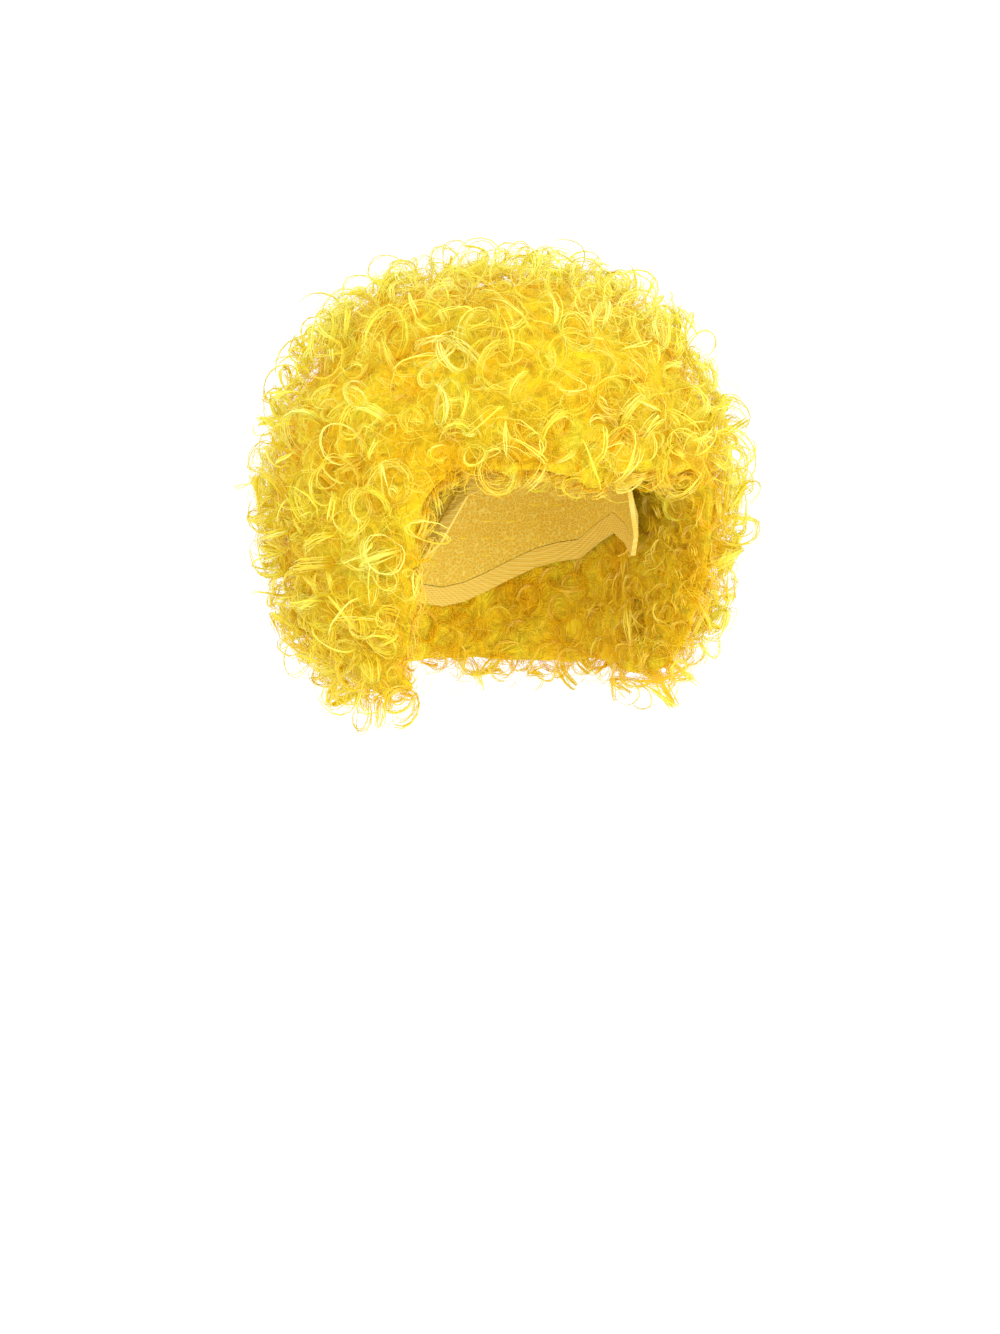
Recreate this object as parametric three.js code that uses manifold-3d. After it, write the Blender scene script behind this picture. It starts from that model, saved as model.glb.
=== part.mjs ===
// Curly afro wig, in millimetres: a stretch cap with an elastic band round its rim, and six blocks of
// curled hair sewn to the cap. +Z is up and the wearer faces -Y, so +X is the wearer's left. The origin is
// where the crown of the head touches the inside of the cap.
import * as THREE from "three";
import Module from "manifold-3d";

// The head that the cap is stretched over
const headWidth = 150;
const headLength = 186;
const headDome = 92; // from the crown down to the widest level
const headTaper = 210; // how far below that level the head would close to a point

// Cap and elastic band
const capWall = 1.6;
const capDepth = 150; // from the crown down to the band's lower edge at the nape
const bandWidth = 12;
const bandWall = 2.8;
const seam = 0.4; // clearance between pieces that are sewn together

// Body of hair, measured from the crown without the curls that stand proud of it
const hairWidth = 284;
const hairFront = 130; // from the crown's axis to the front of the fringe
const hairBack = 148;
const hairRise = 62;
const hairDrop = 188;

// Opening for the face
const faceTop = 56; // from the crown down to the fringe's lower edge
const faceWidth = 160; // beside the cheeks
const faceFlare = 34; // how much wider it is at the front
const faceCorner = 30;
const faceBack = 18; // how far in front of the crown's axis it ends

// Curls
const curlRadius = 14.5; // from a curl's own axis to the middle of its lock
const lockRadius = 7.5;
const curlPitch = 19;
const curlTurns = 1.1;
const curlSpacing = 57; // between the curls of one row

// Partings between the blocks of hair
const parting = 0.5;
const crownLevel = -8;
const napeLevel = -92;
const templeTurn = 42; // degrees from the front
const backTurn = 128;

// Smoothness
const aroundSteps = 32;
const capRows = 7;
const lockSides = 4;
const lockSteps = 7;

// Height of the cap's lower edge round the head, as a share of capDepth below the crown
const rimLine = [
  { turn: 0, drop: 0.36 },
  { turn: 38, drop: 0.42 },
  { turn: 66, drop: 0.74 },
  { turn: 90, drop: 0.66 },
  { turn: 118, drop: 0.8 },
  { turn: 180, drop: 1 },
];

// Outline of the hair from top to bottom: fall is a share of its height, reach a share of its half width
const hairOutline = [
  { fall: 0, reach: 0 },
  { fall: 0.015, reach: 0.36 },
  { fall: 0.07, reach: 0.6 },
  { fall: 0.15, reach: 0.75 },
  { fall: 0.26, reach: 0.88 },
  { fall: 0.38, reach: 0.96 },
  { fall: 0.5, reach: 1 },
  { fall: 0.64, reach: 0.99 },
  { fall: 0.78, reach: 0.94 },
  { fall: 0.89, reach: 0.87 },
  { fall: 0.96, reach: 0.78 },
  { fall: 1, reach: 0.68 },
];

// Rows of curls from the crown to the ends. A row runs from one turn to another, lean is the angle in degrees
// between a curl's axis and the surface's outward direction, and proud is how far the curl stands out.
const curlRows = [
  { fall: 0.008, from: 60, to: 420, lean: 15, proud: 20 },
  { fall: 0.05, from: 0, to: 360, lean: 60, proud: 22 },
  { fall: 0.155, from: 0, to: 360, lean: 20, proud: 20 },
  { fall: 0.36, from: 13, to: 373, lean: 65, proud: 22 },
  { fall: 0.46, from: -24, to: 24, lean: 25, proud: 18 },
  { fall: 0.53, from: 54, to: 306, lean: 20, proud: 20 },
  { fall: 0.69, from: 54, to: 306, lean: 70, proud: 22 },
  { fall: 0.84, from: 56, to: 304, lean: 20, proud: 20 },
  { fall: 0.99, from: 58, to: 302, lean: 85, proud: 26 },
];

const wasm = await Module();
wasm.setup();

const degrees = THREE.MathUtils.degToRad;

// Value of one column of a table at a place between its rows
function lookUp(rows, key, at, column, eased = false) {
  const next = rows.findIndex((row) => row[key] >= at);
  if (next <= 0) return rows[next === 0 ? 0 : rows.length - 1][column];
  const [low, high] = [rows[next - 1], rows[next]];
  const share = (at - low[key]) / (high[key] - low[key]);
  const bent = eased ? share * share * (3 - 2 * share) : share;
  return low[column] + (high[column] - low[column]) * bent;
}

// Closed surface through rings of points. Its ends are fans to two points, or with no ends it closes on itself.
function loft(rings, ends) {
  const count = rings[0].length;
  const points = rings.flat();
  const faces = [];
  const strips = ends ? rings.length - 1 : rings.length;
  for (let i = 0; i < strips; i++) {
    const [here, there] = [i * count, ((i + 1) % rings.length) * count];
    for (let j = 0; j < count; j++) {
      const k = (j + 1) % count;
      faces.push(here + j, there + j, there + k, here + j, there + k, here + k);
    }
  }
  if (ends) {
    const last = (rings.length - 1) * count;
    for (let j = 0; j < count; j++) {
      const k = (j + 1) % count;
      faces.push(points.length, j, k, points.length + 1, last + k, last + j);
    }
    points.push(...ends);
  }
  return new THREE.BufferGeometry().setFromPoints(points).setIndex(faces);
}

function solidFrom(geometry) {
  const mesh = new wasm.Mesh({
    numProp: 3,
    vertProperties: new Float32Array(geometry.getAttribute("position").array),
    triVerts: new Uint32Array(geometry.getIndex().array),
  });
  return new wasm.Manifold(mesh);
}

function geometryFrom(solid) {
  const mesh = solid.getMesh();
  const geometry = new THREE.BufferGeometry();
  geometry.setAttribute("position", new THREE.BufferAttribute(mesh.vertProperties, 3));
  geometry.setIndex(new THREE.BufferAttribute(mesh.triVerts, 1));
  geometry.computeVertexNormals();
  return geometry;
}

// Turns round the head, in degrees from the front towards the wearer's left
const turns = Array.from({ length: aroundSteps }, (_, i) => (360 * i) / aroundSteps);

// Point of the head at a depth below the crown, grown outwards by a layer of cloth
function headPoint(turn, depth, layer) {
  const upper = depth < headDome;
  const height = upper ? 1 - (depth + layer) / (headDome + layer) : (depth - headDome) / headTaper;
  const share = Math.sqrt(Math.max(0, 1 - height * height));
  return new THREE.Vector3(
    (headWidth / 2 + layer) * share * Math.sin(degrees(turn)),
    -(headLength / 2 + layer) * share * Math.cos(degrees(turn)),
    -depth,
  );
}

const rimDepth = (turn) => capDepth * lookUp(rimLine, "turn", turn > 180 ? 360 - turn : turn, "drop", true);

// Rings of the cap's surface from just off the crown down to a band's width above its edge
function capRings(layer) {
  return Array.from({ length: capRows }, (_, row) => {
    const share = (1 - Math.cos((Math.PI * (row + 1)) / (2 * capRows))) ** 1.1;
    return turns.map((turn) => {
      const lowest = rimDepth(turn) - bandWidth - seam;
      return headPoint(turn, -layer + share * (lowest + layer), layer);
    });
  });
}

function makeCap() {
  const outside = capRings(capWall);
  const inside = capRings(0).reverse();
  return loft([...outside, ...inside], [new THREE.Vector3(0, 0, capWall), new THREE.Vector3()]);
}

function makeBand() {
  const edge = (layer, above) => turns.map((turn) => headPoint(turn, rimDepth(turn) - above, layer));
  return loft([edge(0, 0), edge(0, bandWidth), edge(bandWall, bandWidth), edge(bandWall, 0)]);
}

// Room for the head, the cap and the band, which no hair enters
function makeHeadRoom() {
  const layer = bandWall + 3 * seam;
  const bottom = hairDrop + 4 * curlRadius;
  const dome = Array.from({ length: capRows }, (_, row) => 1 - Math.cos((Math.PI * (row + 1)) / (2 * capRows)));
  const depths = dome.map((share) => share * (headDome + layer) - layer);
  const lower = [0.35, 0.7, 1].map((share) => headDome + share * (capDepth - headDome));
  const rings = [...depths, ...lower, bottom].map((depth) =>
    turns.map((turn) => headPoint(turn, Math.min(depth, capDepth), layer).setZ(-depth)),
  );
  return solidFrom(loft(rings, [new THREE.Vector3(0, 0, layer), new THREE.Vector3(0, 0, -bottom)]));
}

// Room for the face: an arch that widens towards the front
function makeFaceRoom() {
  const front = hairFront + 4 * curlRadius;
  const bottom = hairDrop + 4 * curlRadius;
  const arch = (y, width) => {
    const shape = new THREE.Shape();
    const side = width / 2;
    shape.moveTo(-side, -bottom);
    shape.lineTo(side, -bottom);
    shape.lineTo(side, -faceTop - faceCorner);
    shape.absarc(side - faceCorner, -faceTop - faceCorner, faceCorner, 0, Math.PI / 2);
    shape.absarc(faceCorner - side, -faceTop - faceCorner, faceCorner, Math.PI / 2, Math.PI);
    return shape.getPoints(3).slice(0, -1).map((p) => new THREE.Vector3(p.x, y, p.y));
  };
  const middle = (y) => new THREE.Vector3(0, y, -(faceTop + bottom) / 2);
  const widthAt = (y) => faceWidth + (faceFlare * (y - faceBack)) / (hairFront - faceBack);
  const rings = [arch(-front, widthAt(front)), arch(-faceBack, widthAt(faceBack))];
  return solidFrom(loft(rings, [middle(-front), middle(-faceBack)]));
}

// Point on the outside of the hair
function hairPoint(turn, fall) {
  const reach = lookUp(hairOutline, "fall", fall, "reach");
  const forward = Math.cos(degrees(turn));
  return new THREE.Vector3(
    (hairWidth / 2) * reach * Math.sin(degrees(turn)),
    -(forward > 0 ? hairFront : hairBack) * reach * forward,
    hairRise - fall * (hairRise + hairDrop),
  );
}

function makeHairBody() {
  const rings = hairOutline.slice(1).map((row) => turns.map((turn) => hairPoint(turn, row.fall)));
  return solidFrom(loft(rings, [hairPoint(0, 0), new THREE.Vector3(0, 0, -hairDrop)]));
}

// One curled lock, wound round an axis near a point of the hair's surface
function makeCurl(turn, row, phase) {
  const at = hairPoint(turn, row.fall);
  const step = 0.01;
  const upper = hairPoint(turn, Math.max(row.fall - step, 0));
  const lower = hairPoint(turn, Math.min(row.fall + step, 1));
  const down = lower.sub(upper).normalize();
  const side = hairPoint(turn + 1, row.fall).sub(hairPoint(turn - 1, row.fall)).normalize();
  const out = new THREE.Vector3().crossVectors(down, side).normalize();
  const lean = degrees(row.lean);
  const axis = out.clone().applyAxisAngle(side, lean).applyAxisAngle(out, degrees(phase % 60) - 0.5);
  const size = 1 + 0.14 * Math.sin(degrees(phase));
  const radius = curlRadius * size;
  const length = curlTurns * curlPitch * size;
  const topmost = radius * Math.sin(lean) + (length / 2) * Math.cos(lean) + lockRadius;
  const start = at.clone().addScaledVector(out, row.proud - topmost).addScaledVector(axis, -length / 2);
  const radial = new THREE.Vector3().crossVectors(axis, side).normalize();
  const ring = (share) => {
    const spoke = radial.clone().applyAxisAngle(axis, 2 * Math.PI * curlTurns * share + degrees(phase));
    const middle = start.clone().addScaledVector(axis, length * share).addScaledVector(spoke, radius);
    const along = new THREE.Vector3().crossVectors(axis, spoke).multiplyScalar(2 * Math.PI * curlRadius);
    along.addScaledVector(axis, curlPitch).normalize();
    const thick = lockRadius * (0.55 + 0.45 * Math.sin(Math.PI * share));
    return Array.from({ length: lockSides }, (_, i) =>
      spoke.clone().applyAxisAngle(along, (-2 * Math.PI * i) / lockSides).multiplyScalar(thick).add(middle),
    );
  };
  const rings = Array.from({ length: lockSteps + 1 }, (_, i) => ring(i / lockSteps));
  const centre = (points) => points.reduce((sum, p) => sum.add(p), new THREE.Vector3()).divideScalar(points.length);
  return solidFrom(loft(rings, [centre(rings[0]), centre(rings[lockSteps])]));
}

// Curls in rows round the head, each turned further about its own axis than the one before it
function makeCurls() {
  const goldenAngle = 137.5;
  const curls = [];
  for (const row of curlRows) {
    const reach = lookUp(hairOutline, "fall", row.fall, "reach");
    const girth = (Math.PI * reach * (hairWidth + hairFront + hairBack)) / 2;
    const sweep = row.to - row.from;
    const gaps = Math.max(1, Math.round((girth * sweep) / 360 / curlSpacing));
    const count = sweep < 360 ? gaps + 1 : gaps;
    for (let i = 0; i < count; i++) {
      curls.push(makeCurl(row.from + (sweep * i) / gaps, row, goldenAngle * curls.length));
    }
  }
  return curls;
}

// Wedge of space between two turns round the head and two levels, half a parting inside each side
function makeBlock(fromTurn, toTurn, low, high) {
  const far = 2 * (hairWidth + hairFront + hairBack);
  const middle = (fromTurn + toTurn) / 2;
  const half = (toTurn - fromTurn) / 2;
  const away = (turn, distance) => [distance * Math.sin(degrees(turn)), -distance * Math.cos(degrees(turn))];
  const tip = away(middle, parting / 2 / Math.sin(degrees(half)));
  const outline = [-half, 0, half].map((turn) => away(middle + turn, far)).map(([x, y]) => [x + tip[0], y + tip[1]]);
  const ring = (z) => [tip, ...outline].map(([x, y]) => new THREE.Vector3(x, y, z));
  const inner = (z) => new THREE.Vector3(...away(middle, parting + far / 2), z);
  return solidFrom(loft([ring(high), ring(low)], [inner(high), inner(low)]));
}

// Hair inside a block of space. Curl ends that the parting cuts off are left out.
function hairWithin(hair, block) {
  const pieces = hair.intersect(block).decompose();
  return pieces.reduce((largest, piece) => (piece.volume() > largest.volume() ? piece : largest));
}

function makeHair() {
  const headRoom = makeHeadRoom();
  const body = makeHairBody().subtract(makeFaceRoom());
  const hair = wasm.Manifold.union([body, ...makeCurls()]).subtract(headRoom);
  const top = hairRise + 4 * curlRadius;
  const bottom = -hairDrop - 4 * curlRadius;
  const [under, over] = [crownLevel - parting / 2, crownLevel + parting / 2];
  const nape = napeLevel - parting / 2;
  const far = 2 * (hairWidth + hairFront + hairBack);
  const square = (z) => [45, 135, 225, 315].map((turn) =>
    new THREE.Vector3(far * Math.sin(degrees(turn)), -far * Math.cos(degrees(turn)), z));
  const above = solidFrom(loft([square(top), square(over)], [top, over].map((z) => new THREE.Vector3(0, 0, z))));
  return {
    crown_curls: hairWithin(hair, above),
    fringe_curls: hairWithin(hair, makeBlock(-templeTurn, templeTurn, bottom, under)),
    left_curls: hairWithin(hair, makeBlock(templeTurn, backTurn, bottom, under)),
    right_curls: hairWithin(hair, makeBlock(-backTurn, -templeTurn, bottom, under)),
    back_curls: hairWithin(hair, makeBlock(backTurn, 360 - backTurn, nape + parting, under)),
    nape_curls: hairWithin(hair, makeBlock(backTurn, 360 - backTurn, bottom, nape)),
  };
}

const netCloth = new THREE.MeshStandardMaterial({ color: "#d9a51c", roughness: 0.85, metalness: 0 });
const elastic = new THREE.MeshStandardMaterial({ color: "#e3b02a", roughness: 0.75, metalness: 0 });
const curledHair = new THREE.MeshStandardMaterial({ color: "#eeca36", roughness: 0.45, metalness: 0 });

const wig = new THREE.Group();

function addPiece(name, geometry, material) {
  const piece = new THREE.Mesh(geometry, material);
  piece.name = name;
  wig.add(piece);
}

addPiece("wig_cap", makeCap(), netCloth);
addPiece("rim_band", makeBand(), elastic);
for (const [name, solid] of Object.entries(makeHair())) {
  addPiece(name, geometryFrom(solid), curledHair);
}

export default wig;
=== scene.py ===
"""Curly afro wig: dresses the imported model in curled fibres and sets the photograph's view."""
import math

import bpy
import numpy as np
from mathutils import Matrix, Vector, noise
from mathutils.bvhtree import BVHTree


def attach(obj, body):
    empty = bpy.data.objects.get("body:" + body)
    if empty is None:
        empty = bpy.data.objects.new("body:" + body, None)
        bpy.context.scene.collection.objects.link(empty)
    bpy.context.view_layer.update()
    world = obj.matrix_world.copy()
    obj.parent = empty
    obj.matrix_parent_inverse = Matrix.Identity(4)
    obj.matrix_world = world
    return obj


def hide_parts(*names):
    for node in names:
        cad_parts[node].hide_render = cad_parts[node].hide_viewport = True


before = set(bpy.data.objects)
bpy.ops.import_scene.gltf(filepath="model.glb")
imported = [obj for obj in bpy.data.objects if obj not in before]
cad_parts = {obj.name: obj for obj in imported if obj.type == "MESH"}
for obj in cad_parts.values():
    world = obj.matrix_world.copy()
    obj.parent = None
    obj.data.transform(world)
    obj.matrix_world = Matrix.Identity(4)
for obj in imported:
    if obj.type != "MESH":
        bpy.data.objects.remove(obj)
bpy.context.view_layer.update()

SEED = 23
random = np.random.default_rng(SEED)

# Everything is worked out in millimetres, as in the CAD, and becomes metres when a mesh is made
MM = 0.001

# Body of hair, as in the CAD
HAIR_HALF = 142
HAIR_FRONT = 130
HAIR_BACK = 148
HAIR_RISE = 62
HAIR_DROP = 188
FACE_TOP = 56
FACE_HALF = 80
FACE_FLARE = 17
FACE_BACK = 18
FACE_EDGE = 13
CROWN_LEVEL = -8
NAPE_LEVEL = -92
TEMPLE_TURN = 42
BACK_TURN = 128
HEAD_HALF = 75
HEAD_LONG = 93
HEAD_DOME = 92
HEAD_TAPER = 210
CAP_DEPTH = 150

# Thickness of the cap with its band, and how near to them hair counts as lying on them, as a share
CAP_LAYER = 4.5
NEAR_CAP = 1.12

# Lower edge of the cap: turn from the front, and share of the cap's depth
RIM_TURN = [0, 38, 66, 90, 118, 180]
RIM_DROP = [0.36, 0.42, 0.74, 0.66, 0.8, 1]

HAIR_FALL = [0, 0.015, 0.07, 0.15, 0.26, 0.38, 0.5, 0.64, 0.78, 0.89, 0.96, 1]
HAIR_REACH = [0, 0.36, 0.6, 0.75, 0.88, 0.96, 1, 0.99, 0.94, 0.87, 0.78, 0.68]

# The CAD's curls
CURL_RADIUS = 14.5
CURL_PITCH = 19
CURL_TURNS = 1.1
CURL_SPACING = 57
LOCK_RADIUS = 7.5
CURL_PHASE = 137.5
CURL_ROWS = [
    # fall, from, to, lean, proud
    (0.008, 60, 420, 15, 20),
    (0.05, 0, 360, 60, 22),
    (0.155, 0, 360, 20, 20),
    (0.36, 13, 373, 65, 22),
    (0.46, -24, 24, 25, 18),
    (0.53, 54, 306, 20, 20),
    (0.69, 54, 306, 70, 22),
    (0.84, 56, 304, 20, 20),
    (0.99, 58, 302, 85, 26),
]

# The mass under the curls: its mesh, the height and two widths of its clumps, how far it draws back
# under the CAD's surface on the outside, and how much smaller it is everywhere
HAIR_MIDDLE = np.array([0, 10, -75])
MASS_GRAIN = 4
LUMP = 5
LUMP_WIDE = 34
LUMP_NARROW = 14
SINK = 9
SHRINK = 2


def unit(v):
    return v / np.maximum(np.linalg.norm(v, axis=-1, keepdims=True), 1e-9)


def hair_point(turn, fall):
    """Point on the body of hair, at a turn in degrees from the front and a fall as a share of its height."""
    turn = np.radians(np.asarray(turn, float))
    fall = np.clip(np.asarray(fall, float), 0, 1)
    reach = np.interp(fall, HAIR_FALL, HAIR_REACH)
    deep = np.where(np.cos(turn) > 0, HAIR_FRONT, HAIR_BACK)
    x = HAIR_HALF * reach * np.sin(turn)
    y = -deep * reach * np.cos(turn)
    z = HAIR_RISE - fall * (HAIR_RISE + HAIR_DROP) + 0 * x
    return np.stack([x, y, z], -1)


def hair_frame(turn, fall):
    """Point, sideways, downward and outward directions of the hair's surface."""
    step = 0.01
    at = hair_point(turn, fall)
    low = hair_point(turn, np.minimum(np.asarray(fall) + step, 1))
    high = hair_point(turn, np.maximum(np.asarray(fall) - step, 0))
    down = unit(low - high)
    side = unit(hair_point(np.asarray(turn) + 1, fall) - hair_point(np.asarray(turn) - 1, fall))
    out = unit(np.cross(down, side))
    return at, side, down, out


def turned(v, axis, angle):
    """Vectors turned about unit axes by angles in radians."""
    angle = np.asarray(angle)[..., None]
    across = np.cross(axis, v)
    along = axis * (v * axis).sum(-1, keepdims=True)
    return v * np.cos(angle) + across * np.sin(angle) + along * (1 - np.cos(angle))


def head_share(points, layer):
    """Distance from the head's axis as a share of the distance to its surface with a layer over it."""
    x, y, z = points[..., 0], points[..., 1], points[..., 2]
    depth = np.clip(-z, -layer, CAP_DEPTH)
    height = np.where(
        depth < HEAD_DOME, 1 - (depth + layer) / (HEAD_DOME + layer), (depth - HEAD_DOME) / HEAD_TAPER
    )
    share = np.sqrt(np.maximum(1e-4, 1 - height**2))
    return np.sqrt((x / (HEAD_HALF + layer)) ** 2 + (y / (HEAD_LONG + layer)) ** 2) / share


def rim_depth(points):
    """How far below the crown the cap ends, on the side that each point is on."""
    turn = np.degrees(np.arctan2(np.abs(points[..., 0]), -points[..., 1]))
    return CAP_DEPTH * np.interp(turn, RIM_TURN, RIM_DROP)


def clear_of_head(points):
    """Pushes points out of the room for the head and, down to its rim, for the cap and its band."""
    above = np.clip((points[..., 2] + rim_depth(points) + 12) / 8, 0, 1)
    layer = 1.2 + 3.4 * above
    far = head_share(points, layer)
    push = np.where((far < 1) & (points[..., 2] < layer), 1 / np.maximum(far, 0.2), 1)
    return np.stack([points[..., 0] * push, points[..., 1] * push, points[..., 2]], -1)


def behind_cap(points):
    """True for points of the hair that the cap or its band covers."""
    near = (head_share(points, CAP_LAYER) < NEAR_CAP) & (points[..., 2] < 12)
    return near & (-points[..., 2] < rim_depth(points) - 4)


def node_of(points):
    """Name of the block of hair that each point belongs to."""
    x, y, z = points[:, 0], points[:, 1], points[:, 2]
    turn = np.degrees(np.arctan2(np.abs(x), -y))
    names = np.where(x > 0, "left", "right").astype(object)
    names[turn < TEMPLE_TURN] = "fringe"
    rear = turn > BACK_TURN
    names[rear & (z > NAPE_LEVEL)] = "back"
    names[rear & (z <= NAPE_LEVEL)] = "nape"
    names[z > CROWN_LEVEL] = "crown"
    return names


def in_face_room(points, spare=0):
    """True for the points in front of the face, where no hair is."""
    x, y, z = points[..., 0], points[..., 1], points[..., 2]
    half = FACE_HALF + FACE_FLARE * (-y - FACE_BACK) / (HAIR_FRONT - FACE_BACK)
    return (y < -FACE_BACK) & (z < -FACE_TOP - spare) & (np.abs(x) < half - spare)


# Meshes of many thin closed strands

# Sections of a strand and of a ribbon of fibres: out from the curl's axis, and across the strand
STRAND = np.array([(1, 1), (1, -1), (-1.6, 0)])
RIBBON = np.array([(1, 0), (0, -1), (-1, 0), (0, 1)])

# Thickness of a strand's ends as a share, and how far apart the fine lines of two tones lie
END_SHARE = 0.12
TONE_STEP = 40


def strand_corners(points, wide, half_wide, half_thick, profile, blunt):
    """A section of the profile round each point of each strand, smaller towards the ends."""
    forward = unit(np.gradient(points, axis=1))
    out = unit(np.cross(forward, wide))
    across = np.cross(out, forward)
    s = np.linspace(0, 1, points.shape[1])
    taper = (END_SHARE + (1 - END_SHARE) * np.sin(math.pi * s) ** blunt)[None, :, None]
    w = half_wide[:, None, None] * taper
    t = half_thick[:, None, None] * taper
    return np.stack([points + out * t * a + across * w * b for a, b in profile], 2)


def strand_faces(first, count, steps, sides):
    """Four-sided faces along the strands, and one face on each end."""
    start = first + np.arange(count)[:, None, None] * steps * sides
    j = np.arange(steps - 1)[None, :, None]
    k = np.arange(sides)[None, None, :]
    a, b = start + j * sides + k, start + j * sides + (k + 1) % sides
    quads = np.stack([a, b, b + sides, a + sides], -1).reshape(-1, 4)
    foot = first + np.arange(count)[:, None] * steps * sides
    ends = np.concatenate([foot + np.arange(sides)[::-1], foot + (steps - 1) * sides + np.arange(sides)])
    return quads, ends


def strand_maps(placed, count, steps, sides, columns, rows):
    """Places of the same faces on the strands' map, which has one cell for each strand."""
    j = np.arange(steps - 1)[None, :, None]
    k = np.arange(sides)[None, None, :]
    cell = placed + np.arange(count)
    left, below = (cell % columns) / columns, (cell // columns) / rows
    u0 = left[:, None, None] + (0.06 + 0.88 * k / sides) / columns
    u1 = left[:, None, None] + (0.06 + 0.88 * (k + 1) / sides) / columns
    v0 = below[:, None, None] + (0.03 + 0.94 * j / (steps - 1)) / rows
    v1 = below[:, None, None] + (0.03 + 0.94 * (j + 1) / (steps - 1)) / rows
    u0, u1, v0, v1 = np.broadcast_arrays(u0, u1, v0, v1)
    maps = [np.stack([u0, v0, u1, v0, u1, v1, u0, v1], -1).reshape(-1, 2)]
    turn = 2 * math.pi * np.arange(sides) / sides
    small = 0.02 * np.stack([np.cos(turn), np.sin(turn)], -1) / [columns, rows]
    for level in (0.06, 0.94):
        middle = np.stack([left + 0.5 / columns, below + level / rows], -1)
        maps.append((middle[:, None, :] + small).reshape(-1, 2))
    return maps


def mesh_from(name, corners, faces, sizes):
    """Mesh of smooth faces, from one run of corner numbers and the number of corners of each face."""
    mesh = bpy.data.meshes.new(name)
    mesh.vertices.add(len(corners))
    mesh.vertices.foreach_set("co", corners.astype(np.float32).ravel())
    mesh.loops.add(len(faces))
    mesh.loops.foreach_set("vertex_index", faces.astype(np.int32))
    mesh.polygons.add(len(sizes))
    starts = np.concatenate([[0], np.cumsum(sizes)[:-1]])
    mesh.polygons.foreach_set("loop_start", starts.astype(np.int32))
    mesh.polygons.foreach_set("use_smooth", np.ones(len(starts), bool))
    return mesh


def crease(mesh, sizes, sidewalls):
    """Keeps crisp edges between the sides of each strand, which stays smooth along its length."""
    loops = sizes.sum()
    starts = np.concatenate([[0], np.cumsum(sizes)[:-1]])
    edges = np.zeros(loops, np.int32)
    mesh.loops.foreach_get("edge_index", edges)
    lengthwise = np.zeros(len(mesh.edges), bool)
    corner = np.arange(loops) - np.repeat(starts, sizes)
    lengthwise[edges[np.repeat(sidewalls, sizes) & (corner % 2 == 1)]] = True
    sharp = mesh.attributes.new("sharp_edge", "BOOLEAN", "EDGE")
    sharp.data.foreach_set("value", lengthwise)


class Strands:
    """Collects strands in batches and makes one mesh of them."""

    def __init__(self):
        self.batches = []

    def add(self, points, wide, half_wide, half_thick, tone, deep, profile, blunt):
        """points and wide are strands x steps x 3, deep strands x steps, the rest one for each strand."""
        self.batches.append((points, wide, half_wide, half_thick, tone, deep, profile, blunt))

    def make(self, name):
        corners, faces, sizes, sidewalls, maps = [], [], [], [], []
        values = {"tone": [], "deep": [], "across": [], "along": []}
        strands = sum(len(batch[0]) for batch in self.batches)
        columns = max(1, int(math.sqrt(strands * 1.6)))
        rows = math.ceil(strands / columns)
        first = 0
        placed = 0
        for points, wide, half_wide, half_thick, tone, deep, profile, blunt in self.batches:
            count, steps = points.shape[:2]
            sides = len(profile)
            sections = strand_corners(points, wide, half_wide, half_thick, profile, blunt)
            corners.append(sections.reshape(-1, 3))
            length = np.zeros((count, steps))
            length[:, 1:] = np.cumsum(np.linalg.norm(np.diff(points, axis=1), axis=2), 1)
            place = half_wide[:, None] * profile[None, :, 1] + TONE_STEP * tone[:, None]
            values["tone"].append(np.repeat(tone, steps * sides))
            values["deep"].append(np.repeat(deep.reshape(-1), sides))
            values["across"].append(np.repeat(place[:, None, :], steps, 1).reshape(-1))
            values["along"].append(np.repeat(length.reshape(-1), sides))
            quads, ends = strand_faces(first, count, steps, sides)
            faces += [quads.ravel(), ends.ravel()]
            sizes += [np.full(len(quads), 4), np.full(len(ends), sides)]
            sidewalls += [np.ones(len(quads), bool), np.zeros(len(ends), bool)]
            maps += strand_maps(placed, count, steps, sides, columns, rows)
            first += count * steps * sides
            placed += count
        sizes = np.concatenate(sizes)
        mesh = mesh_from(name, np.concatenate(corners) * MM, np.concatenate(faces), sizes)
        layer = mesh.uv_layers.new(name="OFBake")
        layer.data.foreach_set("uv", np.concatenate(maps).astype(np.float32).ravel())
        for title, numbers in values.items():
            attribute = mesh.attributes.new(title, "FLOAT", "POINT")
            attribute.data.foreach_set("value", np.concatenate(numbers).astype(np.float32))
        mesh.update(calc_edges=True)
        crease(mesh, sizes, np.concatenate(sidewalls))
        piece = bpy.data.objects.new(name, mesh)
        bpy.context.scene.collection.objects.link(piece)
        return piece


def waver(count, steps, size):
    """Smooth random wandering of strands, larger towards their ends."""
    s = np.linspace(0, 1, steps)[None, :, None]
    total = np.zeros((count, steps, 3))
    for order in (1, 2, 3):
        way = random.normal(size=(count, 1, 3)) / order
        phase = random.uniform(0, 2 * math.pi, (count, 1, 1))
        total += way * np.sin(2 * math.pi * order * s + phase)
    return total * (0.35 + 0.65 * s) * size[:, None, None]


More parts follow.
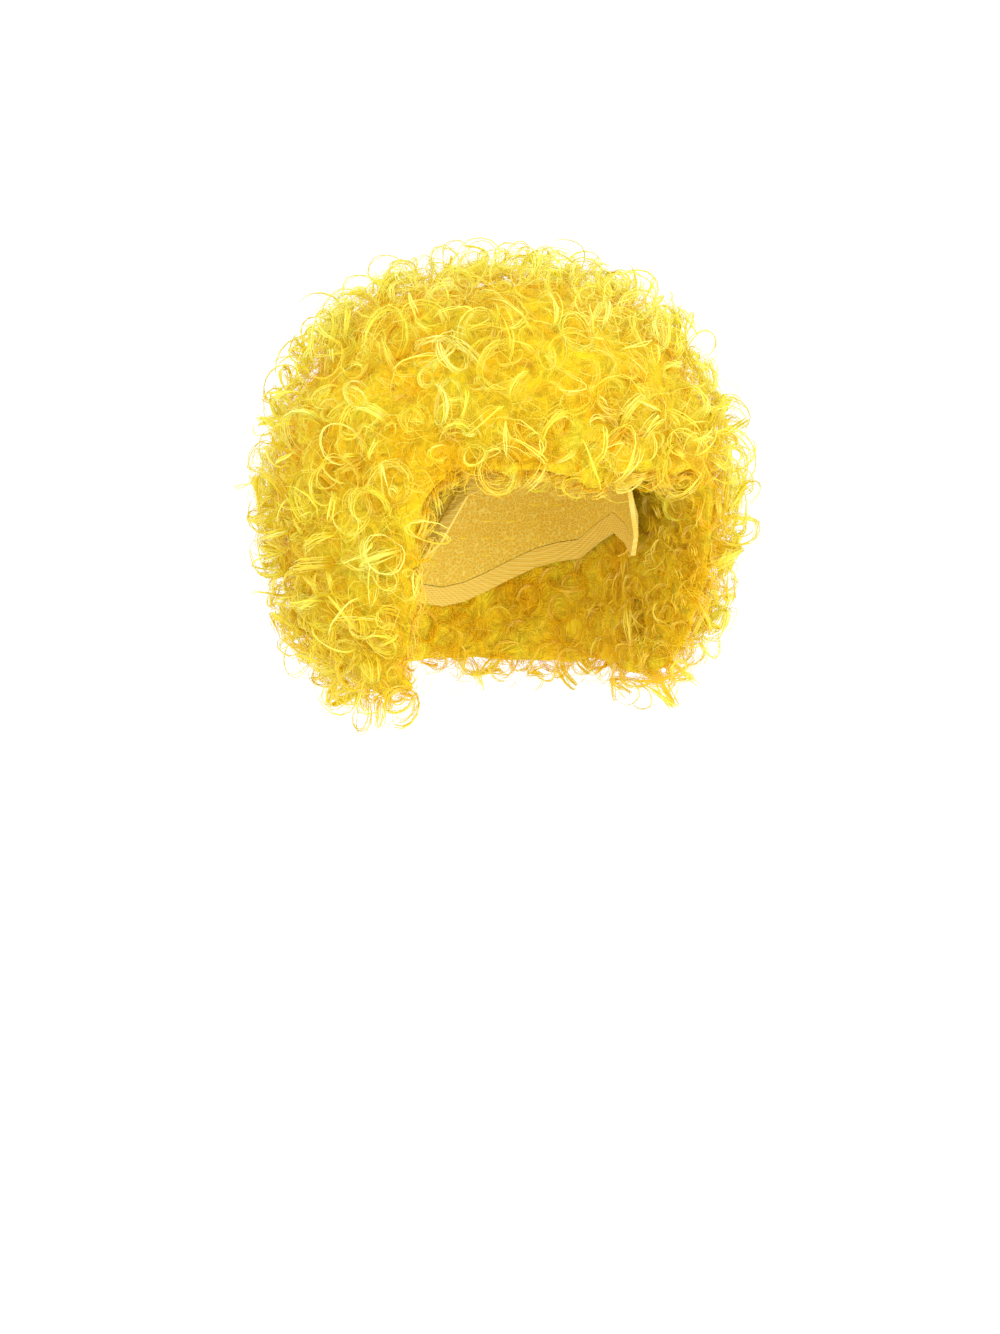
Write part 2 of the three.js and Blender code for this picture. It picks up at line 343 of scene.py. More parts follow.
def coils(centre, axis, radial, radius, pitch, turns, phase, steps, strands, thick, spread, fray):
    """Bundles of strands wound round axes. Returns their points, width directions and bundle numbers."""
    count = len(centre)
    tight = random.uniform(0.0, 0.5, count)
    squash = random.uniform(0.66, 1.0, count)
    bundle = np.repeat(np.arange(count), strands)
    total = len(bundle)
    across = np.cross(axis, radial)
    s = np.linspace(0, 1, steps)[None, :]
    begin = random.uniform(-0.04, 0.1, (total, 1))
    end = 1 - random.uniform(-0.05, 0.2, (total, 1))
    s = begin + (end - begin) * s
    angle = 2 * math.pi * turns[bundle, None] * s + phase[bundle, None]
    angle = angle + random.normal(0, 0.12, (total, 1))
    spot = random.uniform(0, 2 * math.pi, (total, 1))
    far = np.sqrt(random.uniform(0, 1, (total, 1)))
    width = 0.6 + 0.4 * np.sin(math.pi * np.clip(s, 0, 1))
    up = spread[bundle, None] * far * np.cos(spot) * width
    wide_out = thick[bundle, None] * far * np.sin(spot) * width
    reach = radius[bundle, None] * (1 - tight[bundle, None] * s) + wide_out
    rise = pitch[bundle, None] * turns[bundle, None] * (s - 0.5) + up
    points = centre[bundle, None, :] + axis[bundle, None, :] * rise[..., None]
    points = points + radial[bundle, None, :] * (reach * np.cos(angle))[..., None]
    points = points + across[bundle, None, :] * (reach * np.sin(angle) * squash[bundle, None])[..., None]
    points = points + waver(total, steps, fray[bundle])
    wide = np.broadcast_to(axis[bundle, None, :], points.shape)
    return points, wide, bundle


# The dense hair under the curls

NODES = ["crown", "fringe", "left", "right", "back", "nape"]


def surface_of(mesh):
    """Points in millimetres and outward directions of a mesh."""
    points = np.zeros(len(mesh.vertices) * 3, np.float32)
    normals = np.zeros(len(mesh.vertices) * 3, np.float32)
    mesh.vertices.foreach_get("co", points)
    mesh.vertices.foreach_get("normal", normals)
    return points.reshape(-1, 3).astype(float) / MM, normals.reshape(-1, 3).astype(float)


def corners_of(mesh):
    """Corner numbers of a mesh's triangles."""
    mesh.calc_loop_triangles()
    corners = np.zeros(len(mesh.loop_triangles) * 3, np.int32)
    mesh.loop_triangles.foreach_get("vertices", corners)
    return corners.reshape(-1, 3)


def pressed(mesh):
    """Presses the CAD's own curls flat on the body of hair, where strands take their place."""
    points, _ = surface_of(mesh)
    points[:, 2] = np.clip(points[:, 2], -HAIR_DROP, HAIR_RISE)
    fall = (HAIR_RISE - points[:, 2]) / (HAIR_RISE + HAIR_DROP)
    reach = np.maximum(np.interp(fall, HAIR_FALL, HAIR_REACH), 0.02)
    deep = np.where(points[:, 1] < 0, HAIR_FRONT, HAIR_BACK)
    far = np.hypot(points[:, 0] / HAIR_HALF, points[:, 1] / deep) / reach
    points[:, :2] /= np.maximum(far, 1)[:, None]
    mesh.vertices.foreach_set("co", (points * MM).astype(np.float32).ravel())


def below_cap(points):
    """0 down to the cap's rim, and 1 under it."""
    return np.clip((-points[..., 2] - rim_depth(points) - 6) / 8, 0, 1)


def lumps(points):
    """Clumps and hollows of the hair, from about -1 to 1."""
    wide = np.array([noise.noise(Vector(p) / LUMP_WIDE) for p in points])
    narrow = np.array([noise.noise(Vector(p) / LUMP_NARROW) for p in points])
    return wide + 0.7 * narrow


def remeshed(piece, rounds):
    """Makes one even closed skin of a piece and smooths it."""
    remesh = piece.modifiers.new("remesh", "REMESH")
    remesh.mode = "VOXEL"
    remesh.voxel_size = MASS_GRAIN * MM
    smooth = piece.modifiers.new("smooth", "SMOOTH")
    smooth.factor = 0.6
    smooth.iterations = rounds
    graph = bpy.context.evaluated_depsgraph_get()
    mesh = bpy.data.meshes.new_from_object(piece.evaluated_get(graph))
    piece.modifiers.clear()
    piece.data = mesh
    return mesh


def make_mass():
    """The CAD's hair in one piece, softened, with clumps and hollows for the curls to lie in."""
    gathered = []
    for name in NODES:
        copy = bpy.data.objects.new(name + "_copy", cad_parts[name + "_curls"].data.copy())
        pressed(copy.data)
        bpy.context.scene.collection.objects.link(copy)
        gathered.append(copy)
    piece = gathered[0]
    with bpy.context.temp_override(active_object=piece, selected_editable_objects=gathered):
        bpy.ops.object.join()
    piece.name = "hair_mass"
    mesh = remeshed(piece, 10)
    points, normals = surface_of(mesh)
    tree = BVHTree.FromPolygons(points.tolist(), [list(face.vertices) for face in mesh.polygons])
    thick = [tree.ray_cast(Vector(p - 0.5 * n), Vector(-n))[3] or 60 for p, n in zip(points, normals)]
    outside = np.clip((head_share(points, CAP_LAYER) - NEAR_CAP) / 0.2, 0, 1)
    facing = np.clip((unit(points - HAIR_MIDDLE) * normals).sum(-1), 0, 1)
    lumpy = np.maximum(outside, below_cap(points))
    shift = lumpy * LUMP * lumps(points) - outside * SINK * facing - SHRINK
    shift = np.maximum(shift, -0.35 * np.array(thick))
    moved = (points + normals * shift[:, None]) * MM
    mesh.vertices.foreach_set("co", moved.astype(np.float32).ravel())
    mesh = remeshed(piece, 2)
    points, normals = surface_of(mesh)
    mesh.polygons.foreach_set("use_smooth", np.ones(len(mesh.polygons), bool))
    # Depth of the hollows between the clumps, which the mass's material paints as shade
    layer = mesh.attributes.new("deep", "FLOAT", "POINT")
    layer.data.foreach_set("value", (-LUMP * lumps(points)).astype(np.float32))
    mesh.update()
    return piece


mass = make_mass()
MASS_POINTS, MASS_NORMALS = surface_of(mass.data)
MASS_CORNERS = corners_of(mass.data)


def over_mass(count):
    """Random places on the surface of the mass, and the outward directions there."""
    a, b, c = (MASS_POINTS[MASS_CORNERS[:, i]] for i in range(3))
    area = np.linalg.norm(np.cross(b - a, c - a), axis=1)
    chosen = random.choice(len(area), count, p=area / area.sum())
    share = random.dirichlet((1, 1, 1), count)
    corners = MASS_CORNERS[chosen]
    at = (MASS_POINTS[corners] * share[..., None]).sum(1)
    out = unit((MASS_NORMALS[corners] * share[..., None]).sum(1))
    seen = ~behind_cap(at)
    return at[seen], out[seen]


def spaced(at, out, spacing):
    """Leaves out each place that is nearer than the spacing to an earlier one."""
    taken = {}
    chosen = []
    cells = np.floor(at / spacing).astype(int)
    for i, cell in enumerate(map(tuple, cells)):
        near = [
            j
            for dx in (-1, 0, 1)
            for dy in (-1, 0, 1)
            for dz in (-1, 0, 1)
            for j in taken.get((cell[0] + dx, cell[1] + dy, cell[2] + dz), ())
        ]
        if near and ((at[near] - at[i]) ** 2).sum(1).min() < spacing**2:
            continue
        taken.setdefault(cell, []).append(i)
        chosen.append(i)
    return at[chosen], out[chosen]


# Area that the tries for evenly spread places have to fill, in square millimetres
TRIED_AREA = 1900000


def spots(spacing):
    """Places spread evenly over the mass."""
    return spaced(*over_mass(int(TRIED_AREA / spacing**2)), spacing)


def outer(at, out):
    """1 on the outside of the hair, falling to 0 on its sides beside the face, inside and underneath."""
    facing = (unit(at - HAIR_MIDDLE) * out).sum(-1)
    return np.clip((facing - 0.1) / 0.4, 0, 1) * ~in_face_room(at + 6 * out)


# Sets of strands, by block of hair

locks = {name: Strands() for name in NODES}
ringlets = {name: Strands() for name in NODES}
frizz = {name: Strands() for name in NODES}

# How far strands may stand over the mass, in millimetres: freely, and at most
EASY_HEIGHT = 22
FULL_HEIGHT = 41

# How far over the mass a lock may start, so that each one stays joined to the hair
START_HEIGHT = 8

# Width of the neighbourhoods that share a tone
TONE_WIDE = 30


def rooted(points, at, out, bundle):
    """Lowers each bundle that starts too far over the place that it grows from."""
    height = ((points - at[bundle, None, :]) * out[bundle, None, :]).sum(-1)
    lowest = np.full(len(at), np.inf)
    np.minimum.at(lowest, bundle, height.min(1))
    drop = np.maximum(lowest - START_HEIGHT, 0)
    return points - (out * drop[:, None])[bundle, None, :]


def held_in(points, at, out):
    """Presses strands that stand far out back towards the place that they grow from."""
    height = ((points - at[:, None, :]) * out[:, None, :]).sum(-1)
    spare = FULL_HEIGHT - EASY_HEIGHT
    over = np.maximum(height - EASY_HEIGHT, 0)
    return points - out[:, None, :] * (over - spare * np.tanh(over / spare))[..., None]


def share_out(kind, at, out, coil, half_wide, flat, tone, profile=STRAND, blunt=0.35):
    """Gives each bundle of strands to the block that it grows from."""
    points, wide, bundle = coil
    points = rooted(points, at, out, bundle)
    points = clear_of_head(held_in(points, at[bundle], out[bundle]))
    # How far each point lies under the mass at its root, negative over it; the hair material paints shade
    # from it
    deep = ((at[bundle, None, :] - points) * out[bundle, None, :]).sum(-1)
    names = node_of(at)[bundle]
    for name in NODES:
        mine = names == name
        if mine.any():
            kind[name].add(
                points[mine], wide[mine], half_wide[mine], flat * half_wide[mine],
                tone[mine], deep[mine], profile, blunt,
            )


def shades(at):
    """Tone of each lock: part its own, part that of its neighbourhood, and, as painted light and shade,
    paler towards the top and deeper lower down.
    """
    area = np.array([noise.noise(Vector(p) / TONE_WIDE) for p in at])
    # Painted light and shade: higher up paler, lower down deeper
    high = np.clip((at[:, 2] + 50) / 110, -1, 1)
    return np.clip(0.38 + 0.7 * area + 0.36 * high + random.normal(0, 0.17, len(at)), 0, 1)


def add_locks(
    kind, at, out, axis, radial, lift, radius, pitch, turns, phase, steps, ribbons, strands, broad, fray
):
    """Locks of curled hair, each of some smooth ribbons of fibres with strands beside them."""
    centre = at + out * lift[:, None]
    tone = shades(at)
    shape = (centre, axis, radial, radius, pitch, turns, phase, steps)
    if ribbons:
        coil = coils(*shape, ribbons, 0.1 * radius, 0.7 * broad, 0.5 * fray)
        own = np.clip(tone[coil[2]] + random.normal(0, 0.12, len(coil[2])), 0, 1)
        half_wide = random.uniform(0.2, 0.42, len(own)) * broad[coil[2]]
        share_out(kind, at, out, coil, half_wide, 0.3, own, RIBBON, 0.7)
    coil = coils(*shape, strands, 0.14 * radius, 1.3 * broad, fray)
    own = np.clip(tone[coil[2]] + random.normal(0, 0.15, len(coil[2])), 0, 1)
    share_out(kind, at, out, coil, random.uniform(0.15, 0.36, len(own)), 0.5, own, STRAND, 0.5)


def cad_curls():
    """Where the CAD's curls are: their surface points and their own axes, sizes and phases."""
    found = []
    for fall, first, last, lean, proud in CURL_ROWS:
        reach = np.interp(fall, HAIR_FALL, HAIR_REACH)
        girth = math.pi * reach * (2 * HAIR_HALF + HAIR_FRONT + HAIR_BACK) / 2
        sweep = last - first
        gaps = max(1, round(girth * sweep / 360 / CURL_SPACING))
        count = gaps + 1 if sweep < 360 else gaps
        for i in range(count):
            phase = CURL_PHASE * len(found)
            found.append((first + sweep * i / gaps, fall, lean, proud, phase))
    return np.array(found)


def add_cad_curls(steps, ribbons, strands):
    turn, fall, lean, proud, phase = cad_curls().T
    at, side, _, out = hair_frame(turn, fall)
    lean = np.radians(lean)
    axis = turned(turned(out, side, lean), out, np.radians(phase % 60) - 0.5)
    size = 1 + 0.14 * np.sin(np.radians(phase))
    radius = CURL_RADIUS * size
    length = CURL_TURNS * CURL_PITCH * size
    topmost = radius * np.sin(lean) + length / 2 * np.cos(lean) + LOCK_RADIUS
    n = len(turn)
    root = at - out * (SINK + SHRINK)
    lift = proud - topmost + SINK + SHRINK
    add_locks(
        locks, root, out, axis, unit(np.cross(axis, side)), lift, radius, CURL_PITCH * size,
        np.full(n, CURL_TURNS + 0.4), np.radians(phase), steps, ribbons, strands,
        np.full(n, 3.2), np.full(n, 1.3),
    )


def any_phase(count):
    return random.uniform(0, 6.28, count)


def any_way(out, steepest, most=1):
    """Random axes, from nearly outward to flat on the surface, with a square direction and their lean."""
    count = len(out)
    tangent = unit(np.cross(out, random.normal(size=(count, 3))))
    lean = (steepest + (math.pi / 2 - steepest) * random.uniform(0, 1, count) ** 1.5) * most
    axis = unit(out * np.cos(lean)[:, None] + tangent * np.sin(lean)[:, None])
    return axis, unit(np.cross(axis, random.normal(size=(count, 3)))), lean


# Where sets of ringlets grow

def anywhere(at, share):
    return share >= 0


def on_outside(at, share):
    return share > 0.3


def beside_face(at, share):
    return in_face_room(at, -FACE_EDGE) & (share < 0.5)


def add_ringlets(spacing, ribbons, strands, steps, radii, lifts, where=anywhere):
    """Open ringlets over the places that are wanted, lying flatter where the hair has little room."""
    at, out = spots(spacing)
    share = outer(at, out)
    wanted = where(at, share)
    at, out, share = at[wanted], out[wanted], share[wanted]
    n = len(at)
    axis, radial, lean = any_way(out, 0.2, 0.4 + 0.6 * share)
    radius = radii[0] + (radii[1] - radii[0]) * random.uniform(0, 1, n) ** 1.3
    lift = random.uniform(*lifts, n) * (0.4 + 0.6 * share) + 0.3 * radius * np.sin(lean) * share
    add_locks(
        ringlets, at, out, axis, radial, lift, radius, random.uniform(0.4, 1.1, n) * radius,
        random.uniform(0.6, 1.3, n), any_phase(n), steps, ribbons, strands,
        0.12 * radius + 0.7, 0.5 + 0.05 * radius,
    )


def add_sweeps(spacing, ribbons, strands, steps):
    """Long arcs of smooth locks that lie over the surface."""
    at, out = spots(spacing)
    n = len(at)
    tangent = unit(np.cross(out, random.normal(size=(n, 3))))
    axis = unit(np.cross(out, tangent) + 0.8 * random.normal(size=(n, 3)))
    radial = unit(np.cross(axis, tangent))
    radius = random.uniform(13, 26, n)
    add_locks(
        locks, at, out, axis, radial, 9 - 0.75 * radius, radius, radius * 0.7, random.uniform(0.45, 0.9, n),
        any_phase(n), steps, ribbons, strands, np.full(n, 3.2), np.full(n, 1.6),
    )


def add_frizz(count, steps, low, high, fine):
    """Fine single fibres that wander through the outside of the hair."""
    at, out = over_mass(count)
    n = len(at)
    lift = (low + (high - low) * random.uniform(0, 1, n) ** 1.5) * (0.3 + 0.7 * outer(at, out))
    axis, radial, _ = any_way(out, 0)
    radius = random.uniform(4, 14, n)
    coil = coils(
        at + out * lift[:, None], axis, radial, radius, radius * random.uniform(0.3, 1.6, n),
        random.uniform(0.5, 1.3, n), any_phase(n), steps, 1,
        np.full(n, 0.1), np.full(n, 0.1), np.full(n, 2.4),
    )
    share_out(frizz, at, out, coil, fine * random.uniform(0.7, 1.3, n), 0.6, shades(at))


def add_flyaways(count, strands, steps, rise, radii, thick):
    """Open loops of a few fibres that stand out round the silhouette."""
    at, out = over_mass(count)
    share = outer(at, out)
    at, out = at[share > 0.5], out[share > 0.5]
    n = len(at)
    radius = random.uniform(*radii, n)
    lift = radius * random.uniform(0.7, 1, n) + random.uniform(*rise, n)
    axis = unit(np.cross(out, random.normal(size=(n, 3))) + 0.3 * out)
    radial = unit(np.cross(axis, out))
    coil = coils(
        at + out * lift[:, None], axis, radial, radius, radius * random.uniform(0.1, 0.8, n),
        random.uniform(0.65, 1.2, n), any_phase(n), steps, strands,
        np.full(n, 0.8), np.full(n, 1.1), np.full(n, 1.0),
    )
    half_wide = random.uniform(*thick, len(coil[2]))
    share_out(frizz, at, out, coil, half_wide, 0.6, random.uniform(0, 1, len(coil[2])))


def add_hangers(spacing, strands, steps):
    """Open curls that hang from the lower edges."""
    at, out = spots(spacing)
    low = out[:, 2] < -0.25
    at, out = at[low], out[low]
    n = len(at)
    far = np.clip((-at[:, 2] - 60) / 90, 0, 1)
    level = unit(random.normal(size=(n, 3)) * [1, 1, 0.25])
    radial = unit(np.cross(level, random.normal(size=(n, 3))))
    radius = random.uniform(5, 9, n) + 6 * far * random.uniform(0, 1, n)
    front = np.clip((20 - at[:, 1]) / 40, 0, 1)
    lift = radius * random.uniform(0.3, 1, n)
    lift = lift + far * (random.uniform(0, 8, n) + front * random.uniform(2, 14, n))
    add_locks(
        locks, at, out, level, radial, lift, radius, radius * random.uniform(0.3, 0.9, n),
        random.uniform(0.8, 1.4, n), any_phase(n), steps, 0, strands,
        0.14 * radius + 0.6, np.full(n, 1.2),
    )


add_cad_curls(steps=16, ribbons=2, strands=9)
add_ringlets(spacing=12.8, ribbons=1, strands=6, steps=11, radii=(6, 14), lifts=(1, 14))
add_ringlets(spacing=19, ribbons=0, strands=5, steps=10, radii=(4, 8), lifts=(8, 19), where=on_outside)
add_ringlets(spacing=9, ribbons=0, strands=6, steps=9, radii=(5, 9), lifts=(5, 13), where=beside_face)
add_sweeps(spacing=34, ribbons=1, strands=8, steps=10)
add_hangers(spacing=14, strands=6, steps=11)
add_frizz(count=6400, steps=8, low=0, high=19, fine=0.15)
add_flyaways(count=640, strands=2, steps=13, rise=(3, 9), radii=(8, 17), thick=(0.22, 0.44))


# Materials

# Dyed fibres, from the palest to a deep orange. The deep orange is painted shade in the recesses and under
# the curls, and also one of the mass's random tones
PALE = (0.93, 0.90, 0.18)
YELLOW = (0.91, 0.82, 0.045)
GOLD = (0.93, 0.70, 0.012)
DEEP_TONE_AND_SHADE = (0.95, 0.57, 0.004)
BLOOM = (1.0, 0.75, 0.08)

# Net of the cap and tape of the band
NET_DARK = (0.80, 0.50, 0.02)
NET_LIGHT = (0.88, 0.60, 0.04)
NET_THREAD = (0.95, 0.78, 0.16)
TAPE_DARK = (0.84, 0.55, 0.04)
TAPE_LIGHT = (0.96, 0.80, 0.22)


def new_material(name):
    material = bpy.data.materials.new(name)
    material.use_nodes = True
    tree = material.node_tree
    shader = tree.nodes["Principled BSDF"]
    return material, tree, shader


def ramp(tree, source, stops):
    node = tree.nodes.new("ShaderNodeValToRGB")
    node.color_ramp.interpolation = "EASE"
    while len(node.color_ramp.elements) < len(stops):
        node.color_ramp.elements.new(0.5)
    for element, (place, colour) in zip(node.color_ramp.elements, stops):
        element.position = place
        element.color = (*colour, 1)
    tree.links.new(source, node.inputs["Fac"])
    return node.outputs["Color"]


def attribute(tree, name):
    node = tree.nodes.new("ShaderNodeAttribute")
    node.attribute_name = name
    return node.outputs["Fac"]


def mapped(tree, source, low, high, to_low=0.0, to_high=1.0):
    node = tree.nodes.new("ShaderNodeMapRange")
    node.inputs["From Min"].default_value = low
    node.inputs["From Max"].default_value = high
    node.inputs["To Min"].default_value = to_low
    node.inputs["To Max"].default_value = to_high
    tree.links.new(source, node.inputs["Value"])
    return node.outputs["Result"]


def mixed(tree, share, one, other):
    node = tree.nodes.new("ShaderNodeMix")
    node.data_type = "RGBA"
    for title, value in (("Factor", share), ("A", one), ("B", other)):
        socket = node.inputs[title]
        if isinstance(value, bpy.types.NodeSocket):
            tree.links.new(value, socket)
        elif isinstance(value, tuple):
            socket.default_value = (*value, 1)
        else:
            socket.default_value = value
    return node.outputs[2]


def texture_noise(tree, scale, detail=3.0, rough=0.6, distortion=0.0):
    place = tree.nodes.new("ShaderNodeTexCoord")
    node = tree.nodes.new("ShaderNodeTexNoise")
    node.inputs["Scale"].default_value = scale
    node.inputs["Detail"].default_value = detail
    node.inputs["Roughness"].default_value = rough
    node.inputs["Distortion"].default_value = distortion
    tree.links.new(place.outputs["Object"], node.inputs["Vector"])
    return node.outputs["Fac"]


def scaled(tree, source, share):
    node = tree.nodes.new("ShaderNodeMath")
    node.operation = "MULTIPLY"
    node.inputs[1].default_value = share
    tree.links.new(source, node.inputs[0])
    return node.outputs[0]


def fuzzy(shader, share):
    """The pale bloom of fine fibres that stand off a surface."""
    shader.inputs["Sheen Weight"].default_value = share
    shader.inputs["Sheen Roughness"].default_value = 0.5
    shader.inputs["Sheen Tint"].default_value = (*BLOOM, 1)


def bumped(tree, shader, height, strength, distance):
    bump = tree.nodes.new("ShaderNodeBump")
    bump.inputs["Strength"].default_value = strength
    bump.inputs["Distance"].default_value = distance
    tree.links.new(height, bump.inputs["Height"])
    tree.links.new(bump.outputs["Normal"], shader.inputs["Normal"])


def fibre_lines(tree):
    """Fine lines that run along a strand."""
    place = tree.nodes.new("ShaderNodeCombineXYZ")
    tree.links.new(attribute(tree, "across"), place.inputs["X"])
    tree.links.new(scaled(tree, attribute(tree, "along"), 0.035), place.inputs["Y"])
    lines = tree.nodes.new("ShaderNodeTexNoise")
    lines.inputs["Scale"].default_value = 1.6
    lines.inputs["Detail"].default_value = 2
    tree.links.new(place.outputs[0], lines.inputs["Vector"])
    return lines.outputs["Fac"]


def hair_material(name, rough):
    material, tree, shader = new_material(name)
    lines = fibre_lines(tree)
    # The tone holds random shades and the painted light that makes the top paler
    tone = ramp(tree, attribute(tree, "tone"), [(0.0, GOLD), (0.5, YELLOW), (1.0, PALE)])
    streaked = mixed(tree, mapped(tree, lines, 0.45, 0.7, 0.0, 0.4), tone, PALE)
    # Painted shade: from 12 mm over the mass down into it, strands turn more and more to the deep orange of
    # the recesses
    deep = mapped(tree, attribute(tree, "deep"), -12, 1)
    colour = mixed(tree, deep, streaked, DEEP_TONE_AND_SHADE)
    tree.links.new(colour, shader.inputs["Base Color"])
    tree.links.new(mapped(tree, lines, 0.3, 0.7, rough + 0.1, rough - 0.06), shader.inputs["Roughness"])
    bumped(tree, shader, lines, 0.3, 0.0001)
    shader.inputs["Specular IOR Level"].default_value = 0.55
    return material


def swirls(tree, size, lines):
    """Fine parallel lines that follow the curves of a cloudy field, as combed fibres do."""
    field = texture_noise(tree, size, detail=1, rough=0.45, distortion=0.4)
    wave = tree.nodes.new("ShaderNodeMath")
    wave.operation = "SINE"
    tree.links.new(scaled(tree, field, 2 * math.pi * lines), wave.inputs[0])
    return mapped(tree, wave.outputs[0], -1, 1)


def wool_material():
    """The dense mass of fibres under the curls."""
    material, tree, shader = new_material("fibre_mass")
    one = swirls(tree, 62, 19)
    other = swirls(tree, 105, 13)
    choice = mapped(tree, texture_noise(tree, 85, 1), 0.42, 0.58)
    lines = mixed(tree, choice, one, other)
    base = ramp(tree, texture_noise(tree, 50, 2), [(0.3, DEEP_TONE_AND_SHADE), (0.5, GOLD), (0.8, YELLOW)])
    # Painted shade: the mass turns towards the deep orange in the hollows between its clumps
    deep = mapped(tree, attribute(tree, "deep"), -2, 4)
    streaked = mixed(tree, mapped(tree, lines, 0.3, 1.0, 0.0, 0.65), base, YELLOW)
    tree.links.new(mixed(tree, deep, streaked, DEEP_TONE_AND_SHADE), shader.inputs["Base Color"])
    shader.inputs["Roughness"].default_value = 0.7
    shader.inputs["Specular IOR Level"].default_value = 0.15
    bumped(tree, shader, lines, 0.8, 0.0009)
    fuzzy(shader, 0.4)
    return material


def finish_piece(piece, material, nodes):
    """Gives a piece its material, attaches it to the root and hides the nodes that it stands in for."""
    piece.data.materials.clear()
    piece.data.materials.append(material)
    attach(piece, "root")
    if nodes:
        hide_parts(*nodes)


hair_gloss = hair_material("curled_fibre", rough=0.23)
hair_fine = hair_material("fine_fibre", rough=0.42)
wool = wool_material()

finish_piece(mass, wool, [name + "_curls" for name in NODES])
for name in NODES:
    finish_piece(locks[name].make(name + "_locks"), hair_gloss, [name + "_curls"])
    finish_piece(ringlets[name].make(name + "_ringlets"), hair_gloss, [name + "_curls"])
    finish_piece(frizz[name].make(name + "_frizz"), hair_fine, [name + "_curls"])


# Cap and band

def net_material():
    """Fine stretch net: pale threads round small cells."""
    material, tree, shader = new_material("cap_net")
    place = tree.nodes.new("ShaderNodeTexCoord")
    cells = tree.nodes.new("ShaderNodeTexVoronoi")
    cells.feature = "DISTANCE_TO_EDGE"
    cells.inputs["Scale"].default_value = 420
    tree.links.new(place.outputs["Object"], cells.inputs["Vector"])
    thread = mapped(tree, cells.outputs["Distance"], 0.04, 0.16, 1.0, 0.0)
    ground = mixed(tree, texture_noise(tree, 60, 2), NET_DARK, NET_LIGHT)
    tree.links.new(mixed(tree, thread, ground, NET_THREAD), shader.inputs["Base Color"])
    shader.inputs["Roughness"].default_value = 0.75
    bumped(tree, shader, thread, 0.6, 0.0005)
    return material


def ribs(tree, way, scale):
    """Parallel ribs that face one way."""
    place = tree.nodes.new("ShaderNodeTexCoord")
    node = tree.nodes.new("ShaderNodeTexWave")
    node.bands_direction = way
    node.inputs["Scale"].default_value = scale
    node.inputs["Distortion"].default_value = 0.6
    tree.links.new(place.outputs["Object"], node.inputs["Vector"])
    return node.outputs["Fac"]


def band_material():
    """Woven elastic tape."""
    material, tree, shader = new_material("band_elastic")
    weave = mixed(tree, 0.5, ribs(tree, "Z", 230), ribs(tree, "DIAGONAL", 190))
    tree.links.new(mixed(tree, weave, TAPE_DARK, TAPE_LIGHT), shader.inputs["Base Color"])
    shader.inputs["Roughness"].default_value = 0.8
    bumped(tree, shader, weave, 0.5, 0.0005)
    return material


def paint(node, material):
    """Gives one of the CAD's own solids a material."""
    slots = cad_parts[node].data.materials
    slots.clear()
    slots.append(material)


paint("wig_cap", net_material())
paint("rim_band", band_material())


def head_point(turn, z):
    """Point on the inside of the cap."""
    depth = -z
    height = np.where(depth < HEAD_DOME, 1 - depth / HEAD_DOME, (depth - HEAD_DOME) / HEAD_TAPER)
    share = np.sqrt(np.maximum(1 - height**2, 0))
    turn = np.radians(turn)
    return np.stack([HEAD_HALF * share * np.sin(turn), -HEAD_LONG * share * np.cos(turn), z + 0 * turn], -1)


# Rows of stitching: the first and last depth, the spacing, how far over the rim they end, and half of
# a row's width and thickness
TRACK_FIRST = 8
TRACK_LAST = 135
TRACK_SPACING = 11
TRACK_CLEAR = 16
TRACK_WIDE = 1.3
TRACK_THICK = 0.5


def make_tracks():
    """The rows of stitching inside the cap that hold the curls."""
    tracks = Strands()
    turn = np.arange(-180, 181, 4.0)
    rim = CAP_DEPTH * np.interp(np.abs(turn), RIM_TURN, RIM_DROP)
    for depth in range(TRACK_FIRST, TRACK_LAST + 1, TRACK_SPACING):
        inside = np.concatenate([[False], rim - TRACK_CLEAR > depth, [False]])
        ends = np.flatnonzero(np.diff(inside.astype(int)))
        for first, last in zip(ends[::2], ends[1::2] - 1):
            if last - first < 4:
                continue
            around = turn[first : last + 1]
            points = head_point(around, np.full(len(around), -float(depth)))[None]
            above = head_point(around, np.full(len(around), 1 - float(depth)))[None]
            tone = np.array([0.6])
            # A fixed depth that gives the rows about half of the painted shade of the recesses
            deep = np.full((1, len(around)), -6.0)
            tracks.add(
                points, unit(above - points), np.array([TRACK_WIDE]), np.array([TRACK_THICK]),
                tone, deep, RIBBON, 0.2,
            )
    return tracks.make("cap_tracks")


finish_piece(make_tracks(), hair_fine, [])


# Floor, light and camera, in metres

FLOOR_SIZE = 200
FLOOR_LEVEL = -0.62
LIT_POINT = Vector((0, 0, -0.07))
DAYLIGHT = 1.18

# The camera's place, the photograph's height in pixels and one pixel's size at the object, and how
# far the photograph's middle lies beside and under the origin
AZIMUTH = -25
ELEVATION = 7
DISTANCE = 1.6
PHOTO_HEIGHT = 1334
PIXEL = 0.0006
BESIDE = -2.5 * PIXEL
UNDER = 0.1776
SENSOR = 36


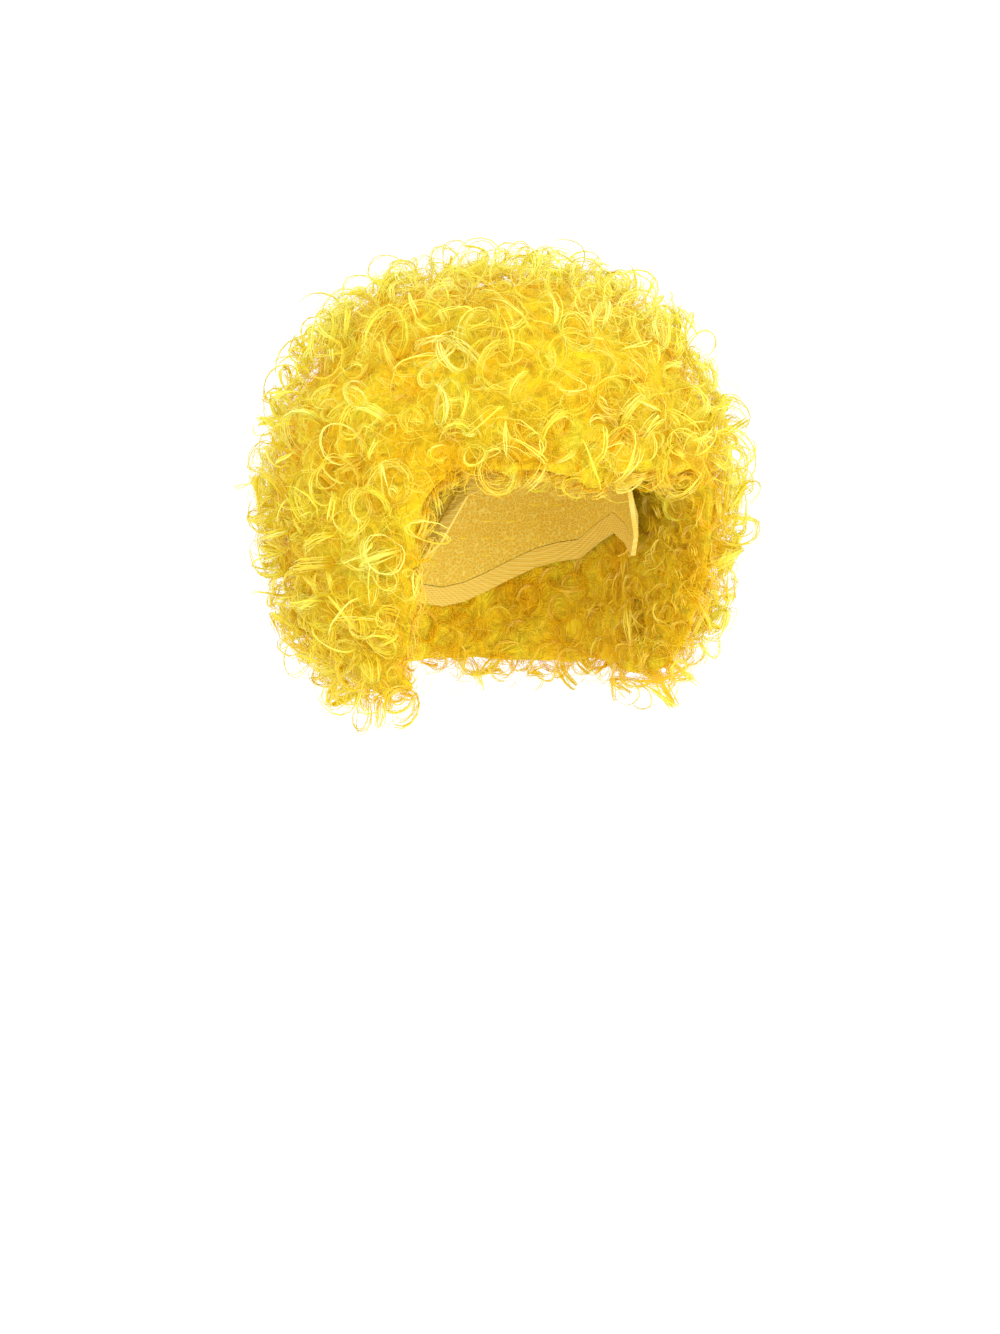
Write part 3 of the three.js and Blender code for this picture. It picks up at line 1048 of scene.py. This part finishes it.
def direction(azimuth, elevation):
    """Towards a place that is given by angles round the object, in degrees."""
    a, e = math.radians(azimuth), math.radians(elevation)
    return Vector((math.sin(a) * math.cos(e), -math.cos(a) * math.cos(e), math.sin(e)))


def floor():
    bpy.ops.mesh.primitive_plane_add(size=FLOOR_SIZE, location=(0, 0, FLOOR_LEVEL))
    plane = bpy.context.object
    plane.name = "floor"
    material, tree, shader = new_material("floor_paint")
    shader.inputs["Base Color"].default_value = (0.99, 0.99, 0.99, 1)
    shader.inputs["Roughness"].default_value = 1.0
    shader.inputs["Specular IOR Level"].default_value = 0.0
    plane.data.materials.append(material)


def lamp(name, azimuth, elevation, distance, size, power):
    data = bpy.data.lights.new(name, "AREA")
    data.shape = "DISK"
    data.size = size
    data.energy = power
    light = bpy.data.objects.new(name, data)
    light.location = LIT_POINT + direction(azimuth, elevation) * distance
    light.rotation_euler = (light.location - LIT_POINT).to_track_quat("Z", "Y").to_euler()
    bpy.context.scene.collection.objects.link(light)


def camera():
    back = direction(AZIMUTH, ELEVATION)
    right = Vector((math.cos(math.radians(AZIMUTH)), math.sin(math.radians(AZIMUTH)), 0))
    up = back.cross(right)
    target = right * BESIDE - up * UNDER
    data = bpy.data.cameras.new("camera")
    data.sensor_width = SENSOR
    data.lens = SENSOR * DISTANCE / (PHOTO_HEIGHT * PIXEL)
    view = bpy.data.objects.new("camera", data)
    view.location = target + back * DISTANCE
    view.rotation_euler = back.to_track_quat("Z", "Y").to_euler()
    bpy.context.scene.collection.objects.link(view)
    bpy.context.scene.camera = view


floor()
lamp("key", azimuth=-45, elevation=50, distance=1.6, size=0.4, power=3)
lamp("fill", azimuth=15, elevation=0, distance=1.9, size=1.0, power=7.5)
camera()

world = bpy.data.worlds.new("studio")
bpy.context.scene.world = world
world.use_nodes = True
world.node_tree.nodes["Background"].inputs["Color"].default_value = (1, 1, 1, 1)
world.node_tree.nodes["Background"].inputs["Strength"].default_value = DAYLIGHT
bpy.context.scene.view_settings.view_transform = "Standard"
